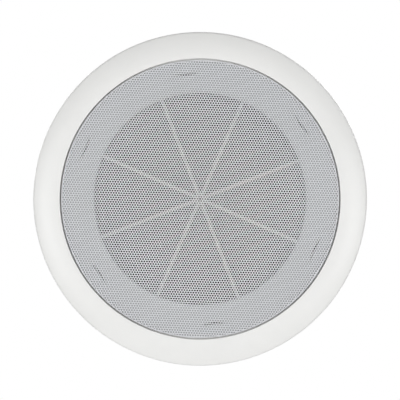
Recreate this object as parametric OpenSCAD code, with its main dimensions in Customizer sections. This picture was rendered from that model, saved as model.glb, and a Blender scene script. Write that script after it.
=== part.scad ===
// Round flush-mount loudspeaker for a wall or a ceiling, with a perforated grille, in millimetres.
// The origin is the centre of the flange's back seating plane. The front faces -Y and up is +Z.
// Every piece is drawn with local z toward the listener, then turned by facing().

/* [Frame moulding] */
// Outer diameter of the bezel
frame_diameter = 230; // [228:0.5:232]
// Height of the bezel's crown in front of the wall
bezel_height = 6.5; // [6:0.1:7.5]
// Radius of the bezel's crown, which is highest near the grille
crown_radius = 40; // [36:1:50]
// Radius of the round along the bezel's outer edge
edge_round = 2.2; // [1.5:0.1:2.4]
// Width of the bezel, from its outer edge to the seat that takes the grille
bezel_width = 18.5; // [18.3:0.1:18.8]
// Wall of the collar that goes through the cut-out
collar_wall = 2; // [1.6:0.1:2.4]
// How far the collar reaches behind the wall's surface
collar_depth = 20; // [18:0.5:24]
// Width of the baffle plate, from the grille's seat to the opening in front of the cone
plate_width = 23.5; // [23:0.5:24]
// Thickness of the baffle plate
plate_thickness = 2.5; // [2:0.1:3]
// How far the baffle plate's front lies in front of the wall
plate_front = 1; // [0.5:0.1:1.4]

/* [Spokes and slots] */
// Number of spokes across the opening
spoke_count = 8; // [6:1:10]
// Direction of the first spoke
spoke_angle = 21.2; // [0:0.1:44]
// Width of a spoke
spoke_width = 2.2; // [1.6:0.1:3]
// Depth of a spoke
spoke_depth = 3; // [2.5:0.1:3.6]
// Outer diameter of the hub ring
hub_diameter = 7.4; // [6:0.1:9]
// Bore of the hub ring
hub_bore = 3.2; // [2.4:0.1:4]
// Number of snap hooks, each below its own slot
hook_count = 6; // [6:1:6]
// Direction of the first hook
hook_angle = 36; // [30:1:42]
// How far the slots' middle line lies inside the driver's edge
slot_inset = 0.7; // [0.6:0.1:1]
// Radial width of a slot
slot_width = 1.6; // [1.4:0.1:1.8]
// Length of a slot
slot_length = 20; // [17:0.5:22]

/* [Grille] */
// Radial gap between the grille's skirt and its seat
grille_gap = 0.9; // [0.6:0.05:1.2]
// Thickness of the grille's sheet
grille_sheet = 0.8; // [0.6:0.1:1]
// How far the grille's face lies in front of the wall
grille_face = 5.2; // [4.8:0.1:5.4]
// Distance between neighbouring holes, three times the true one
hole_pitch = 5.33; // [5.2:0.01:6]
// Hole diameter over the pitch
hole_share = 0.77; // [0.7:0.01:0.8]
// Turn of the rows of holes
hole_turn = -2.5; // [-5:0.1:5]

/* [Spring clamps] */
// Direction of the first of three clamps
clamp_angle = 66; // [64:1:68]
// How far a clamp's pivot lies inside the grille's seat
clamp_inset = 5; // [4.8:0.1:5.4]
// Distance of the pivot behind the wall's surface
pivot_depth = 12; // [11.5:0.1:13]
// Pivot pin's diameter
pin_diameter = 3; // [2.6:0.1:3.2]
// Radial clearance round a pin
pin_clearance = 0.05; // [0.03:0.01:0.1]
// Width of a clamp arm
arm_width = 12; // [11:0.5:12]
// Reach of a clamp arm from its pivot
arm_reach = 19; // [17:0.5:20]
// Spring wire diameter
wire_diameter = 1; // [0.8:0.1:1.1]
// Turns of the spring's coil
coil_turns = 4; // [3:1:4]

/* [Driver] */
// How far the edge of the basket's flange lies inside the grille's seat
driver_inset = 9.5; // [9.4:0.1:9.7]
// Sheet thickness of the basket
basket_sheet = 1; // [0.8:0.1:1.2]
// Depth of the basket's floor behind the wall's surface
basket_floor = 41; // [40:0.5:43]
// Number of legs between the basket's windows
leg_count = 4; // [4:1:4]
// Half the angle that a leg covers
leg_half_angle = 10; // [8:0.5:12]
// How far the cone's edge lies inside the opening
cone_inset = 9.1; // [9:0.1:9.4]
// Thickness of the cone's paper
cone_sheet = 0.7; // [0.5:0.1:0.8]
// Outer diameter of the voice coil's former
former_diameter = 26.6; // [26.2:0.1:26.8]
// Wall of the voice coil's former
former_wall = 0.3; // [0.25:0.05:0.35]
// Thickness of the wire wound on the former
winding_wall = 0.5; // [0.3:0.05:0.6]
// Height of the winding
winding_height = 9; // [7:0.5:9]
// Gap between the winding and the top plate
coil_gap = 0.5; // [0.4:0.05:0.7]
// Diameter of the dust cap
cap_diameter = 34; // [30:0.5:36]
// Height of the dust cap's dome
cap_height = 6; // [4:0.5:7]

/* [Magnet] */
// Outer diameter of the ferrite ring
magnet_diameter = 80; // [76:1:84]
// Bore of the ferrite ring
magnet_bore = 40; // [36:1:42]
// Thickness of the ferrite ring
magnet_thickness = 10; // [8:0.5:12]
// Diameter of the two steel plates
plate_diameter = 76; // [74:1:78]
// Thickness of each steel plate
steel_thickness = 4; // [3:0.5:5]
// Diameter of the pole
pole_diameter = 25; // [24.6:0.1:25.2]

/* [Hidden] */
$fn = 96;

outer = frame_diameter / 2;
seat = outer - bezel_width;
collar = seat + collar_wall;
opening = seat - plate_width;
plate_back = plate_front - plate_thickness;
pivot_radius = seat - clamp_inset;
bezel_seat = 3.6;
stand_inner = opening + 3;
stand_outer = stand_inner + 7.5;
stand_back = plate_back - 6;
gasket_back = stand_back - 1.5;
lip_sheet = 0.4;
flange_front = gasket_back - lip_sheet;
flange = seat - driver_inset;
flange_back = flange_front - basket_sheet;
grille_radius = seat - grille_gap;
grille_bend = grille_sheet + 0.3;
pin_bore = pin_diameter / 2 + pin_clearance;
cone_edge = opening - cone_inset;
surround_edge = cone_edge - 3.1;
cone_neck = former_diameter / 2;
spider_depth = 33.8;
neck_depth = spider_depth - 2.8;
spider_sheet = 0.5;
slot_radius = flange - slot_inset;
landing = spider_depth + spider_sheet;
top_front = -basket_floor - basket_sheet;
magnet_front = top_front - steel_thickness;
back_front = magnet_front - magnet_thickness;
wall_a = [opening - 6.5, -18];
wall_b = [43, -32.6];

function unit(v) = v / norm(v);
function left_of(a, b) = let (d = unit(b - a)) [-d[1], d[0]];
function before(p, i) = i == 0 ? left_of(p[0], p[1]) : left_of(p[i - 1], p[i]);
function after(p, i) = i == len(p) - 1 ? before(p, i) : left_of(p[i], p[i + 1]);
function mitre(p, i) = let (a = before(p, i), b = after(p, i)) (a + b) / (1 + a * b);
// A sheet of thickness t whose front follows the line p, given from the outside in.
function sheet(p, t) = concat(p, [
    for (i = [len(p) - 1:-1:0])
        let (q = p[i] + t * mitre(p, i))
            [max(q[0], 0), q[1]]
]);

module facing() {
    rotate([90, 0, 0]) children();
}

// Children drawn in the plane of radius and z, given a width along the tangent.
module slab(width) {
    rotate([90, 0, 0]) linear_extrude(height = width, center = true) children();
}

module around(count, first = 0) {
    for (k = [0:count - 1]) rotate([0, 0, first + 360 / count * k]) children();
}

// A round bar along a path, with flat ends.
function ring(path, i, r, s, ref) =
    let (a = path[max(i - 1, 0)])
    let (b = path[min(i + 1, len(path) - 1)])
    let (t = unit(b - a))
    let (u = unit(cross(t, ref)))
    let (v = cross(u, t))
    [for (k = [0:s - 1]) path[i] + r * (cos(360 * k / s) * u + sin(360 * k / s) * v)];

module bar(path, r, s, ref = [0, 1, 0]) {
    n = len(path);
    points = [for (i = [0:n - 1]) each ring(path, i, r, s, ref)];
    first = [[for (k = [s - 1:-1:0]) k]];
    last = [[for (k = [0:s - 1]) (n - 1) * s + k]];
    sides = [
        for (i = [0:n - 2], k = [0:s - 1])
            let (j = (k + 1) % s)
                each [
                    [i * s + k, i * s + j, (i + 1) * s + j],
                    [i * s + k, (i + 1) * s + j, (i + 1) * s + k]
                ]
    ];
    polyhedron(points = points, faces = concat(first, last, sides));
}

// The moulding's turned section: crown, seat, collar, plate and the two rings that carry the driver.
crown_middle = seat + 2.5;
edge_middle = outer - edge_round;
edge_level = bezel_height - crown_radius
    + sqrt(pow(crown_radius - edge_round, 2) - pow(edge_middle - crown_middle, 2));
tangent = crown_middle + (edge_middle - crown_middle) * crown_radius / (crown_radius - edge_round);
shell = 2.3;
nose = 0.8;
nose_level = bezel_height - crown_radius - nose
    + sqrt(pow(crown_radius, 2) - pow(seat + nose - crown_middle, 2));

module bezel_section() {
    difference() {
        union() {
            intersection() {
                translate([crown_middle, bezel_height - crown_radius]) circle(r = crown_radius, $fn = 360);
                translate([seat + nose, 0]) square([tangent - seat - nose, bezel_height + 1]);
            }
            intersection() {
                translate([crown_middle, bezel_height - crown_radius]) circle(r = crown_radius, $fn = 360);
                translate([seat, 0]) square([1, nose_level + 0.02]);
            }
            translate([seat + nose, nose_level]) circle(r = nose);
            translate([edge_middle, edge_level]) circle(r = edge_round);
            translate([edge_middle - 1, 0]) square([edge_round + 1, edge_level]);
        }
        difference() {
            translate([collar, -1]) square([outer - 2.4 - collar, bezel_height + 1]);
            difference() {
                translate([collar - 1, -2]) square([outer, bezel_height + 4]);
                translate([crown_middle, bezel_height - crown_radius])
                    circle(r = crown_radius - shell, $fn = 360);
            }
            translate([outer - 3.4, 2.4]) square([4, 8]);
        }
    }
}

module bezel() {
    color("WhiteSmoke") facing() difference() {
        union() {
            rotate_extrude($fn = 180) bezel_section();
            around(24, 7.5) slab(1.6) polygon([
                [collar - 0.5, 0.8], [outer - 3.2, 0.8],
                [outer - 3.2, 2.9], [collar - 0.5, bezel_height - 1.5]
            ]);
        }
        translate([0, 0, -1]) cylinder(h = bezel_seat + 1, r = collar, $fn = 180);
    }
}

module collar_section() {
    polygon([
        [seat, -collar_depth], [collar - 0.6, -collar_depth],
        [collar, -collar_depth + 1.5], [collar, bezel_seat], [seat, bezel_seat]
    ]);
}

module clamp_bracket() {
    for (side = [-1, 1])
        translate([0, side * 7.65, 0]) slab(2.5) polygon([
            [seat - 8.7, plate_back], [seat + 0.5, plate_back], [seat + 0.5, -pivot_depth - 3.5],
            [seat - 2.1, -pivot_depth - 4.6], [seat - 6.9, -pivot_depth - 4.6],
            [seat - 8.7, -pivot_depth - 1]
        ]);
    translate([pivot_radius - 1.9, -7, -pivot_depth + 4]) cube([1.4, 14, pivot_depth - 4 + plate_back]);
}

module mounting_collar() {
    color("WhiteSmoke") facing() difference() {
        union() {
            rotate_extrude($fn = 180) collar_section();
            around(3, clamp_angle) clamp_bracket();
        }
        around(3, clamp_angle) {
            translate([seat - 1, -6.3, -collar_depth - 1])
                cube([collar_wall + 2, 12.6, collar_depth + 1 - pivot_depth + 1.05]);
            translate([pivot_radius, 0, -pivot_depth]) rotate([90, 0, 0])
                cylinder(h = 20, r = pin_bore, center = true);
        }
    }
}

module plate_section() {
    polygon([
        [opening, plate_back], [seat, plate_back], [seat, plate_front],
        [opening + 0.6, plate_front], [opening, plate_front - 0.6]
    ]);
    translate([stand_inner, stand_back]) square([2, plate_back - stand_back + 0.5]);
    translate([stand_outer - 2, stand_back]) square([2, plate_back - stand_back + 0.5]);
}

module baffle_plate() {
    color("Gainsboro") facing() difference() {
        union() {
            rotate_extrude($fn = 180) plate_section();
            around(12, 21) translate([stand_outer - 0.5, -0.8, plate_back - 3.5])
                cube([seat - stand_outer, 1.6, 4]);
        }
        around(hook_count, hook_angle)
            translate([slot_radius - slot_width / 2, -slot_length / 2, plate_back - 4])
                cube([slot_width, slot_length, 8]);
    }
}

module spoke_guard() {
    color("Gainsboro") facing() difference() {
        union() {
            intersection() {
                union() {
                    around(spoke_count, spoke_angle)
                        translate([hub_bore / 2 + 0.5, -spoke_width / 2, plate_front - spoke_depth])
                            cube([opening + 1 - hub_bore / 2, spoke_width, spoke_depth]);
                }
                translate([0, 0, -10]) cylinder(h = 20, r = opening, $fn = 180);
            }
            translate([0, 0, plate_front - spoke_depth]) cylinder(h = spoke_depth, d = hub_diameter);
        }
        translate([0, 0, -10]) cylinder(h = 20, d = hub_bore);
    }
}

// Snap hooks that hold the basket's edge from behind.
module driver_hooks() {
    catch_front = flange_back - 0.05;
    color("Gainsboro") facing() around(hook_count, hook_angle) slab(14) polygon([
        [flange + 0.2, plate_back], [flange + 2.4, plate_back], [flange + 2.4, catch_front - 3.8],
        [flange + 0.2, catch_front - 3.8], [flange - 2.6, catch_front - 1],
        [flange - 2.6, catch_front], [flange + 0.2, catch_front]
    ]);
}

module grille_rim() {
    color("Gainsboro") facing() rotate_extrude($fn = 180) {
        translate([grille_radius - grille_bend, grille_face - grille_bend]) intersection() {
            difference() {
                circle(r = grille_bend);
                circle(r = grille_bend - grille_sheet);
            }
            square(grille_bend);
        }
        translate([grille_radius - grille_sheet, plate_front])
            square([grille_sheet, grille_face - grille_bend - plate_front]);
    }
}

module grille() {
    row = hole_pitch * sqrt(3) / 2;
    rows = ceil(grille_radius / row);
    places = ceil(grille_radius / hole_pitch) + 1;
    // The outermost holes keep half a millimetre of plain sheet before the bend.
    limit = grille_radius - grille_bend - hole_pitch * hole_share / 2 - 0.5;
    color("Gainsboro") facing() difference() {
        translate([0, 0, grille_face - grille_sheet])
            cylinder(h = grille_sheet, r = grille_radius - grille_bend, $fn = 180);
        rotate([0, 0, hole_turn])
            for (j = [-rows:rows], i = [-places:places])
                let (x = (i + (abs(j) % 2) / 2) * hole_pitch, y = j * row)
                    if (norm([x, y]) < limit)
                        translate([x, y, grille_face - 2])
                            cylinder(h = 4, d = hole_pitch * hole_share, $fn = 16);
    }
}

module clamp(k) {
    facing() rotate([0, 0, clamp_angle + 120 * (k - 1)])
        translate([pivot_radius, 0, -pivot_depth]) children();
}

module clamp_arm(k) {
    color("Silver") clamp(k) difference() {
        union() {
            rotate([90, 0, 0]) cylinder(h = arm_width, r = 3, center = true);
            translate([0, -arm_width / 2, -1]) cube([arm_reach, arm_width, 2]);
            translate([arm_reach - 2, -arm_width / 2, 0]) cube([2, arm_width, 3]);
            translate([arm_reach - 1, 0, 3]) rotate([90, 0, 0])
                cylinder(h = arm_width, r = 1, center = true);
            for (side = [-1, 1])
                translate([0, side * (arm_width / 2 - 0.6), 0]) slab(1.2)
                    polygon([[0, -3], [9, -3], [arm_reach - 1, -1], [arm_reach - 1, 0], [0, 0]]);
        }
        rotate([90, 0, 0]) cylinder(h = 20, r = pin_bore, center = true);
        translate([-5, -2.9, -5]) cube([8.7, 5.8, 10]);
    }
}

module clamp_pin(k) {
    color("DarkGray") clamp(k) rotate([90, 0, 0]) {
        cylinder(h = 18.4, d = pin_diameter, center = true);
        translate([0, 0, 8.95]) cylinder(h = 0.9, r = 2.4);
    }
}

module clamp_spring(k) {
    r = 2.5;
    pitch = wire_diameter + 0.05;
    turn = 360 * coil_turns + 90;
    steps = 16 * coil_turns + 4;
    start = -pitch * turn / 720;
    arm_leg = [[12.5, start, -1 - wire_diameter / 2 - 0.03]];
    coil = [
        for (i = [0:steps])
            let (a = -90 - turn * i / steps)
                [r * cos(a), start + pitch * turn * i / steps / 360, r * sin(a)]
    ];
    end_leg = [[-r, -start, pivot_depth + plate_back - 0.6]];
    color("DimGray") clamp(k) bar(concat(arm_leg, coil, end_leg), wire_diameter / 2, 8);
}

module basket_gasket() {
    color("DarkSlateGray") facing() translate([0, 0, gasket_back]) difference() {
        cylinder(h = stand_back - gasket_back, r = stand_outer, $fn = 180);
        translate([0, 0, -1]) cylinder(h = 5, r = stand_inner - 0.5, $fn = 180);
    }
}

basket_line = [
    [flange, flange_front], [opening - 0.4, flange_front],
    [opening - 1.2, flange_front - 0.8], [opening - 2, -15],
    wall_a, wall_b, [39.5, -landing], [34.2, -landing],
    [33.4, -basket_floor], [14.6, -basket_floor]
];

wall_slope = atan2(wall_a[1] - wall_b[1], wall_a[0] - wall_b[0]);
pad_middle = (wall_a + wall_b) / 2 + basket_sheet * left_of(wall_a, wall_b);
terminal_angle = 135;

// Children drawn on the leg that carries the terminals: x runs out along the leg, -z away from it.
module on_leg() {
    facing() rotate([0, 0, terminal_angle]) translate([pad_middle[0], 0, pad_middle[1]])
        rotate([0, -wall_slope, 0]) children();
}

// The outline of a window with rounded corners between radii a and b, which turns half to each side.
function window_corner(r, turn, round, first) =
    let (c = [r * cos(turn), r * sin(turn)])
        [for (i = [0:6]) c + round * [cos(first + 15 * i), sin(first + 15 * i)]];
function window(a, b, half, round) =
    let (outer_turn = half - asin(round / (b - round)))
    let (inner_turn = half - asin(round / (a + round)))
        concat(
            [for (i = [0:12]) b * [cos(outer_turn * (i / 6 - 1)), sin(outer_turn * (i / 6 - 1))]],
            window_corner(b - round, outer_turn, round, outer_turn),
            window_corner(a + round, inner_turn, round, inner_turn + 90),
            [for (i = [12:-1:0]) a * [cos(inner_turn * (i / 6 - 1)), sin(inner_turn * (i / 6 - 1))]],
            window_corner(a + round, -inner_turn, round, 180 - inner_turn),
            window_corner(b - round, -outer_turn, round, 270 - outer_turn)
        );

window_inner = 45;
window_outer = opening - 8.5;
window_round = 0.23 * (window_outer - window_inner);

module leg_rib() {
    translate([pad_middle[0], 0, pad_middle[1]]) rotate([0, -wall_slope, 0])
        slab(5) polygon([[-11.5, 0.3], [-9.5, -1.4], [9.5, -1.4], [11.5, 0.3]]);
}

module basket() {
    color("DarkSlateGray") {
        difference() {
            union() {
                facing() rotate_extrude($fn = 180) polygon(sheet(basket_line, basket_sheet));
                on_leg() translate([-7, -9, -0.3]) cube([14, 18, 1.1]);
                facing() for (k = [0, 2, 3]) rotate([0, 0, 45 + 90 * k]) leg_rib();
            }
            facing() for (k = [0:leg_count - 1]) rotate([0, 0, 360 / leg_count * k]) translate([0, 0, -40])
                linear_extrude(height = 28)
                    polygon(window(window_inner, window_outer, 45 - leg_half_angle, window_round));
            on_leg() translate([0, 0, -5]) cylinder(h = 10, r = 1.55);
            facing() around(4, 0) translate([24, 0, -50]) cylinder(h = 20, r = 1.25);
        }
    }
}

roll_middle = opening - 4.7;
roll_radius = 4.2;
surround_line = concat(
    [[opening + 8, gasket_back]],
    [for (i = [0:20]) [roll_middle + roll_radius * cos(9 * i), gasket_back + roll_radius * sin(9 * i)]],
    [[surround_edge, gasket_back]]
);

module surround() {
    color("DimGray") facing() rotate_extrude($fn = 180) polygon(sheet(surround_line, lip_sheet));
}

function cone_level(r) = -neck_depth
    + (neck_depth + flange_front) * pow(max(r - cone_neck, 0) / (surround_edge - cone_neck), 0.8);
cone_line = concat(
    [[cone_edge, flange_front]],
    [
        for (i = [0:18])
            let (r = surround_edge + (cone_neck - surround_edge) * i / 18)
                [r, cone_level(r)]
    ]
);

module cone() {
    color("DimGray") facing() rotate_extrude($fn = 180) polygon(sheet(cone_line, cone_sheet));
}

cap = cap_diameter / 2;
cap_radius = (cap * cap + cap_height * cap_height) / (2 * cap_height);
cap_rim = cone_level(cap) + 0.42;
cap_span = asin(cap / cap_radius);
cap_line = [
    for (i = [12:-1:0])
        let (a = cap_span * i / 12)
            [cap_radius * sin(a), cap_rim + cap_height - cap_radius * (1 - cos(a))]
];

module dust_cap() {
    color("Black") facing() rotate_extrude($fn = 180) polygon(sheet(cap_line, 0.5));
}

module tube(outside, inside, low, high) {
    translate([0, 0, low]) difference() {
        cylinder(h = high - low, r = outside);
        translate([0, 0, -1]) cylinder(h = high - low + 2, r = inside);
    }
}

winding_middle = top_front - steel_thickness / 2;

module voice_coil_former() {
    color("Gold") facing() tube(
        cone_neck, cone_neck - former_wall,
        winding_middle - winding_height / 2 - 0.5, -neck_depth + 1.5
    );
}

module voice_coil_winding() {
    color("Peru") facing() tube(
        cone_neck + winding_wall, cone_neck,
        winding_middle - winding_height / 2, winding_middle + winding_height / 2
    );
}

spider_waves = 5;
spider_line = concat(
    [[38.6, -spider_depth]],
    [
        for (i = [0:60])
            let (r = 34.2 - 18 * i / 60)
                [r, -spider_depth + 0.6 * (1 - cos(360 * spider_waves * i / 60))]
    ],
    [[cone_neck, -spider_depth]]
);

module spider() {
    color("Goldenrod") facing() rotate_extrude($fn = 180) polygon(sheet(spider_line, spider_sheet));
}

plate_radius = plate_diameter / 2;

module disc_section(inside, low, high, edge) {
    polygon([
        [inside, low], [plate_radius - edge, low], [plate_radius, low + edge],
        [plate_radius, high - edge], [plate_radius - edge, high], [inside, high]
    ]);
}

module top_plate() {
    color("Silver") facing() difference() {
        rotate_extrude($fn = 180)
            disc_section(cone_neck + winding_wall + coil_gap, magnet_front, top_front, 0.5);
        around(4, 0) translate([24, 0, -60]) cylinder(h = 40, r = 1.25);
    }
}

module magnet() {
    low = back_front;
    high = magnet_front;
    edge = 0.8;
    ring = magnet_diameter / 2;
    color("DimGray") facing() rotate_extrude($fn = 180) polygon([
        [magnet_bore / 2, low], [ring - edge, low], [ring, low + edge],
        [ring, high - edge], [ring - edge, high], [magnet_bore / 2, high]
    ]);
}

module back_plate() {
    pole = pole_diameter / 2;
    color("Silver") facing() rotate_extrude($fn = 180) {
        disc_section(0, back_front - steel_thickness, back_front, 0.5);
        polygon([
            [0, back_front - 1], [pole, back_front - 1], [pole, top_front - 0.9],
            [pole - 0.6, top_front - 0.3], [0, top_front - 0.3]
        ]);
    }
}

module basket_rivets() {
    color("Silver") facing() around(4, 0) translate([24, 0, 0]) {
        translate([0, 0, magnet_front + 0.4])
            cylinder(h = top_front - magnet_front + basket_sheet - 0.3, r = 1.2);
        translate([0, 0, -basket_floor]) cylinder(h = 0.9, r1 = 2.4, r2 = 1.8);
    }
}

module terminal_board() {
    color("SaddleBrown") on_leg() difference() {
        translate([-6.5, -18, -1.9]) cube([13, 36, 1.6]);
        translate([0, 0, -5]) cylinder(h = 10, r = 1.55);
    }
}

module terminal_rivet() {
    color("Silver") on_leg() {
        translate([0, 0, -2.4]) cylinder(h = 3.9, r = 1.5);
        translate([0, 0, -2.7]) cylinder(h = 0.8, r1 = 1.8, r2 = 2.6);
        translate([0, 0, basket_sheet + 0.02]) cylinder(h = 0.8, r1 = 2.4, r2 = 1.9);
    }
}

// A flat tab riveted to the board, with its outer end bent away from the basket.
module terminal(side) {
    color("Goldenrod") on_leg() translate([0, side * 13.5, -1.9]) difference() {
        union() {
            translate([-9.5, -2.4, -0.8]) cube([13.5, 4.8, 0.8]);
            slab(4.8) polygon([[3.5, 0], [4.1, 0], [13, -5], [12.6, -5.7], [3.9, -0.8], [3.5, -0.8]]);
            translate([0, 0, -1.3]) cylinder(h = 1, r = 1.9);
        }
        translate([-7.9, 0, -2]) cylinder(h = 4, r = 0.7);
    }
}

function leg_point(u, v, w) = [
    pad_middle[0] + u * cos(wall_slope) - w * sin(wall_slope),
    v,
    pad_middle[1] + u * sin(wall_slope) + w * cos(wall_slope)
];
function bend(a, b, c, d, t) = let (s = 1 - t)
    s * s * s * a + 3 * s * s * t * b + 3 * s * t * t * c + t * t * t * d;

module tinsel(side) {
    start = [36, side * 9, cone_level(36) - 1.35];
    end = leg_point(-8.4, side * 13.5, -1.9 + 0.47);
    path = [
        for (i = [0:16])
            bend(start, start + [2, side, -7], end + [-6, 0, 3.4], end, i / 16)
    ];
    color("Chocolate") facing() rotate([0, 0, terminal_angle]) bar(path, 0.45, 8);
}

bezel();
mounting_collar();
baffle_plate();
spoke_guard();
driver_hooks();
grille();
grille_rim();
clamp_arm(1);  // clamp_arm_1
clamp_arm(2);  // clamp_arm_2
clamp_arm(3);  // clamp_arm_3
clamp_pin(1);  // clamp_pin_1
clamp_pin(2);  // clamp_pin_2
clamp_pin(3);  // clamp_pin_3
clamp_spring(1);  // clamp_spring_1
clamp_spring(2);  // clamp_spring_2
clamp_spring(3);  // clamp_spring_3
basket_gasket();
basket();
surround();
cone();
dust_cap();
voice_coil_former();
voice_coil_winding();
spider();
top_plate();
magnet();
back_plate();
basket_rivets();
terminal_board();
terminal_rivet();
terminal(1);  // terminal_positive
terminal(-1);  // terminal_negative
tinsel(1);  // tinsel_positive
tinsel(-1);  // tinsel_negative
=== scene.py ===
"""The flush-mount loudspeaker's looks. Metres, in the CAD's frame: the front faces -Y and up is +Z."""
import math

import bmesh
import bpy
import numpy as np
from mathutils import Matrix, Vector
from mathutils.geometry import delaunay_2d_cdt


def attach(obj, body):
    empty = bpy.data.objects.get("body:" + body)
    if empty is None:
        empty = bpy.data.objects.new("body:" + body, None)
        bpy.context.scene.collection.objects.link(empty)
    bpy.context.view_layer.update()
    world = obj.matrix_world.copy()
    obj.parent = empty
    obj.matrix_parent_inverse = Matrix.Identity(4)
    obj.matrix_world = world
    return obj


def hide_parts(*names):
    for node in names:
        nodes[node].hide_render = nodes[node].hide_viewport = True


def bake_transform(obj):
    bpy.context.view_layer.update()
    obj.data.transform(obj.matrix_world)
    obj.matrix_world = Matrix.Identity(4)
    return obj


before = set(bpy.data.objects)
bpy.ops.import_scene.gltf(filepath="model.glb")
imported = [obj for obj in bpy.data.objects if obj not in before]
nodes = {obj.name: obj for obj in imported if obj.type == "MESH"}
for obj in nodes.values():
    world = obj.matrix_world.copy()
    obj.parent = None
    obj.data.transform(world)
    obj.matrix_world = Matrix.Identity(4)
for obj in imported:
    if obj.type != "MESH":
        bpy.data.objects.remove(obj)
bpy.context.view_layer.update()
MM = 0.001

# ---------------------------------------------------------------- materials


def new_material(name):
    m = bpy.data.materials.new(name)
    m.use_nodes = True
    m.node_tree.nodes.clear()
    out = m.node_tree.nodes.new("ShaderNodeOutputMaterial")
    shader = m.node_tree.nodes.new("ShaderNodeBsdfPrincipled")
    m.node_tree.links.new(shader.outputs["BSDF"], out.inputs["Surface"])
    return m, m.node_tree, shader


def node(tree, kind, inputs=None, **props):
    n = tree.nodes.new(kind)
    for key, value in props.items():
        setattr(n, key, value)
    for key, value in (inputs or {}).items():
        if hasattr(value, "is_output"):
            tree.links.new(value, n.inputs[key])
        else:
            n.inputs[key].default_value = value
    return n


def math_node(tree, operation, a, b=0.0):
    return node(tree, "ShaderNodeMath", {0: a, 1: b}, operation=operation).outputs[0]


def place(tree):
    return node(tree, "ShaderNodeNewGeometry").outputs["Position"]


def noise(tree, vector, scale, detail=3.0, roughness=0.55):
    n = node(
        tree, "ShaderNodeTexNoise",
        {"Vector": vector, "Scale": scale, "Detail": detail, "Roughness": roughness},
    )
    return n.outputs["Fac"]


def ramp(tree, value, low, high, start=0.3, end=0.7):
    n = node(
        tree, "ShaderNodeMapRange",
        {"Value": value, "From Min": start, "From Max": end, "To Min": low, "To Max": high},
    )
    return n.outputs["Result"]


def mix(tree, factor, a, b):
    n = tree.nodes.new("ShaderNodeMix")
    n.data_type = "RGBA"
    for socket, value in (("Factor_Float", factor), ("A_Color", a), ("B_Color", b)):
        s = next(x for x in n.inputs if x.identifier == socket)
        if hasattr(value, "is_output"):
            tree.links.new(value, s)
        else:
            s.default_value = value
    return next(x for x in n.outputs if x.identifier == "Result_Color")


def rgb(c, k=1.0):
    """A colour for a socket, its three parts times k."""
    return (min(c[0] * k, 1), min(c[1] * k, 1), min(c[2] * k, 1), 1)


def distance(tree, first, second):
    """Distance in metres from the axis that stands across two of the axes 0, 1 and 2."""
    split = node(tree, "ShaderNodeSeparateXYZ", {0: place(tree)})
    a, b = split.outputs[first], split.outputs[second]
    squares = [math_node(tree, "MULTIPLY", v, v) for v in (a, b)]
    return math_node(tree, "SQRT", math_node(tree, "ADD", *squares))


def axis_radius(tree):
    """Distance from the speaker's axis."""
    return distance(tree, 0, 2)


def finish_with(tree, shader, colour, rough, heights):
    """Colour and roughness into the shader, and each (height, strength, distance) as bump."""
    tree.links.new(colour, shader.inputs["Base Color"])
    if hasattr(rough, "is_output"):
        tree.links.new(rough, shader.inputs["Roughness"])
    else:
        shader.inputs["Roughness"].default_value = rough
    normal = None
    for height, strength, distance in heights:
        b = node(tree, "ShaderNodeBump", {"Height": height, "Strength": strength, "Distance": distance})
        if normal is not None:
            tree.links.new(normal, b.inputs["Normal"])
        normal = b.outputs["Normal"]
    if normal is not None:
        tree.links.new(normal, shader.inputs["Normal"])


def moulded_plastic(name, colour, rough, painted_bar_shade=None):
    """Moulded plastic with a fine grain. The bar factor, if given, paints shade on the slender bars in the opening:
    the same plastic, darkened to that fraction of its colour.
    """
    m, t, s = new_material(name)
    p = place(t)
    broad = noise(t, p, 28, 4)
    fine = noise(t, p, 2600, 2)
    c = mix(t, ramp(t, broad, 0, 1), rgb(colour, 0.98), rgb(colour, 1.02))
    c = mix(t, ramp(t, fine, 0.0, 0.35), c, rgb(colour, 0.93))
    if painted_bar_shade:
        radius = axis_radius(t)
        # Painted shade: inside the opening the bars are darkened towards black.
        c = mix(t, ramp(t, radius, painted_bar_shade, 1.0, *BAR_PAINTED_SHADE_FADE), (0, 0, 0, 1), c)
        c = mix(t, ramp(t, radius, 0, 1, *SEAT_FADE), c, rgb(WHITE, 0.97))
    r = math_node(t, "ADD", ramp(t, fine, rough - 0.05, rough + 0.05), ramp(t, broad, -0.03, 0.03))
    finish_with(t, s, c, r, [(fine, 0.22, 0.00006), (broad, 0.25, 0.0004)])
    s.inputs["Specular IOR Level"].default_value = 0.45
    return m


def powder_coat(name, colour, rough=0.5):
    """Powder coat with a fine orange peel."""
    m, t, s = new_material(name)
    p = place(t)
    peel = noise(t, p, 1500, 2)
    broad = noise(t, p, 22, 3)
    c = mix(t, ramp(t, broad, 0, 1), rgb(colour, 0.985), rgb(colour, 1.015))
    c = mix(t, ramp(t, peel, 0.0, 0.25), c, rgb(colour, 0.92))
    finish_with(t, s, c, ramp(t, peel, rough - 0.07, rough + 0.07), [(peel, 0.3, 0.00005)])
    return m


def plated(name, colour, rough, tint=(0.78, 0.74, 0.58)):
    """Plated metal, with clouds of the tint that its passivation leaves."""
    m, t, s = new_material(name)
    p = place(t)
    clouds = noise(t, p, 90, 5, 0.65)
    grain = noise(t, p, 1800, 3)
    c = mix(t, ramp(t, clouds, 0, 0.55), rgb(colour), rgb(tint))
    c = mix(t, ramp(t, grain, 0, 0.3), c, rgb(colour, 0.7))
    s.inputs["Metallic"].default_value = 1.0
    r = math_node(t, "ADD", ramp(t, clouds, rough - 0.08, rough + 0.1), ramp(t, grain, -0.04, 0.04))
    finish_with(t, s, c, r, [(grain, 0.25, 0.00005), (clouds, 0.2, 0.0002)])
    return m


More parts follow.
